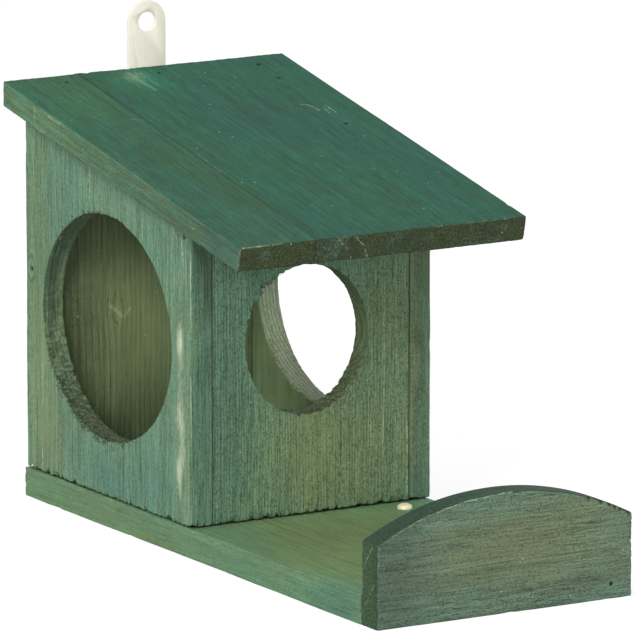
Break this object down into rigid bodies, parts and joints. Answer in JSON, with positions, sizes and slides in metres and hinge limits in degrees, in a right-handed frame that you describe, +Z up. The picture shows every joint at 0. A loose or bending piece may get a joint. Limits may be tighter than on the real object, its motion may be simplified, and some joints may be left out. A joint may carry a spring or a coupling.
{
  "type": "squirrel feeder",
  "caption": "Stained timber squirrel feeder: a small house with rounded openings, a sloping roof, a long floor with an arched front rail, and a hanging strap.",
  "frame": {"origin": "middle of the floor board's underside, straight below the outer face of the front wall", "axes": "+Z up, +Y from the front rail to the back, +X to the right seen from the front"},
  "size_m": [0.1182, 0.2521, 0.1809],
  "materials": {
    "roof_wood": "thin green stain over softwood grain",
    "wall_wood": "thin green stain over softwood grain",
    "floor_wood": "thin green stain over softwood grain",
    "rail_wood": "thin green stain over softwood grain",
    "strap_metal": "nickel-plated, satin",
    "screw_metal": "zinc-plated",
    "nail_metal": "dull, stained over",
    "brass": "pale, satin"
  },
  "bodies": {
    "root": {"floor_board": "floor_wood", "left_wall": "wall_wood", "right_wall": "wall_wood", "front_wall": "wall_wood", "back_wall": "wall_wood", "roof_left_stave": "roof_wood", "roof_right_stave": "roof_wood", "front_rail": "rail_wood", "hanger_strap": "strap_metal", "hanger_screw_lower": "screw_metal", "hanger_screw_upper": "screw_metal", "floor_screw": "brass", "roof_back_nails": "nail_metal", "roof_side_nails": "nail_metal", "left_wall_front_nails": "nail_metal", "left_wall_back_nails": "nail_metal", "right_wall_front_nails": "nail_metal", "right_wall_back_nails": "nail_metal", "floor_side_nails": "nail_metal", "floor_cross_nails": "nail_metal", "rail_nails": "nail_metal"}
  },
  "joints": []
}
